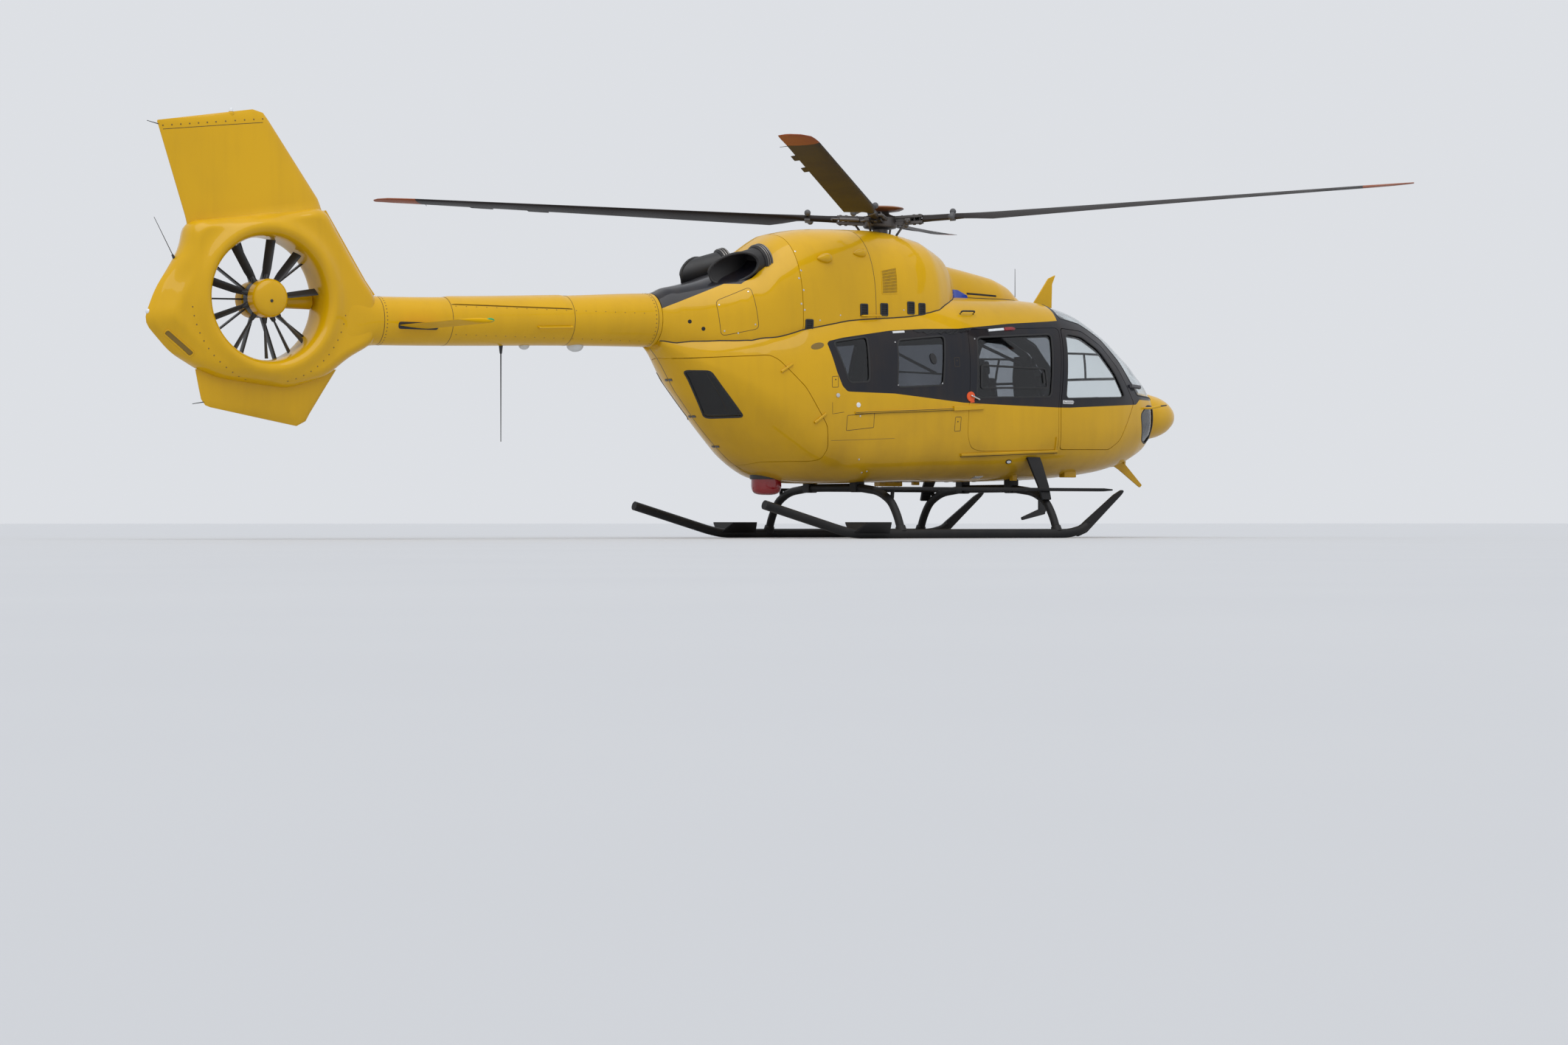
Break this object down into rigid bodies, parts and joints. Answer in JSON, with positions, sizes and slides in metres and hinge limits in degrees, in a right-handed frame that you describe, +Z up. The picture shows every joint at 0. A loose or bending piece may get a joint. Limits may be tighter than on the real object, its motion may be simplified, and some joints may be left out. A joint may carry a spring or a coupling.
{
  "type": "twin-engine rescue helicopter",
  "caption": "Full-size light rescue helicopter with main rotor, shrouded tail fan, skids, sliding cabin doors and rear clamshell doors.",
  "frame": {"origin": "on the floor under the skids, below the middle of the bounding box; the main rotor's mast stands at x = 2.142 m", "axes": "+X towards the nose, +Y to port, +Z up"},
  "size_m": [12.284, 7.869, 4],
  "materials": {
    "yellow_paint": "gloss",
    "yellow_composite": "gloss",
    "black_paint": "satin",
    "black_composite": "satin",
    "blade_composite": "matte",
    "engine_metal": "satin",
    "exhaust_metal": "matte",
    "glazing": "polished",
    "lamp_red": "polished",
    "floor_lining": "matte",
    "seat_cover": "matte",
    "stretcher_cover": "matte"
  },
  "bodies": {
    "airframe": {"cabin_shell": "yellow_paint", "engine_cowling": "yellow_paint", "rotor_cowling": "yellow_paint", "tail_boom": "yellow_paint", "tail_shroud": "yellow_composite", "keel_fin": "yellow_composite", "stabilizer_left": "yellow_composite", "stabilizer_right": "yellow_composite", "nose_radome": "yellow_composite", "wire_cutter_upper": "yellow_composite", "wire_cutter_lower": "yellow_composite", "engine_left": "engine_metal", "engine_right": "engine_metal", "main_gearbox": "engine_metal", "exhaust_left": "exhaust_metal", "exhaust_right": "exhaust_metal", "fan_stator": "black_composite", "belly_antenna": "black_composite", "instrument_panel": "black_composite", "cross_tube_front": "black_paint", "cross_tube_rear": "black_paint", "skid_left": "black_paint", "skid_right": "black_paint", "step_board_left": "black_paint", "step_board_right": "black_paint", "belly_beacon": "lamp_red", "cabin_floor": "floor_lining", "pilot_seat_left": "seat_cover", "pilot_seat_right": "seat_cover", "cabin_seat": "seat_cover", "stretcher": "stretcher_cover", "sliding_door_left": "yellow_composite", "sliding_door_glass_left": "glazing", "middle_window_left": "glazing", "rear_window_left": "glazing", "windscreen_left": "glazing", "chin_window_left": "glazing", "sliding_door_right": "yellow_composite", "sliding_door_glass_right": "glazing", "middle_window_right": "glazing", "rear_window_right": "glazing", "windscreen_right": "glazing", "chin_window_right": "glazing"},
    "main_rotor": {"rotor_hub": "engine_metal", "rotor_blade_1": "blade_composite", "rotor_blade_2": "blade_composite", "rotor_blade_3": "blade_composite", "rotor_blade_4": "blade_composite"},
    "fan_rotor": {"tail_fan": "black_composite"},
    "cockpit_door_left": {"cockpit_door_left": "yellow_composite", "cockpit_door_glass_left": "glazing"},
    "clamshell_left": {"clamshell_door_left": "yellow_composite", "clamshell_glass_left": "glazing"},
    "cockpit_door_right": {"cockpit_door_right": "yellow_composite", "cockpit_door_glass_right": "glazing"},
    "clamshell_right": {"clamshell_door_right": "yellow_composite", "clamshell_glass_right": "glazing"}
  },
  "joints": [
    {"name": "main_rotor_spin", "type": "hinge", "parent": "airframe", "child": "main_rotor", "pos_m": [2.142, 0, 3.3], "axis": [0, 0, 1], "continuous": true},
    {"name": "tail_fan_spin", "type": "hinge", "parent": "airframe", "child": "fan_rotor", "pos_m": [-4.978, 0, 2.24], "axis": [0, 1, 0], "continuous": true},
    {"name": "cockpit_door_left_hinge", "type": "hinge", "parent": "airframe", "child": "cockpit_door_left", "pos_m": [5.107, 0.7, 1.4], "axis": [0, 0, -1], "range_deg": [0, 80]},
    {"name": "clamshell_left_hinge", "type": "hinge", "parent": "airframe", "child": "clamshell_left", "pos_m": [0.647, 0.875, 1.51], "axis": [0.6048, 0, -0.7964], "range_deg": [0, 90]},
    {"name": "cockpit_door_right_hinge", "type": "hinge", "parent": "airframe", "child": "cockpit_door_right", "pos_m": [5.107, -0.7, 1.4], "axis": [0, 0, 1], "range_deg": [0, 80]},
    {"name": "clamshell_right_hinge", "type": "hinge", "parent": "airframe", "child": "clamshell_right", "pos_m": [0.647, -0.875, 1.51], "axis": [-0.6048, 0, 0.7964], "range_deg": [0, 90]}
  ]
}
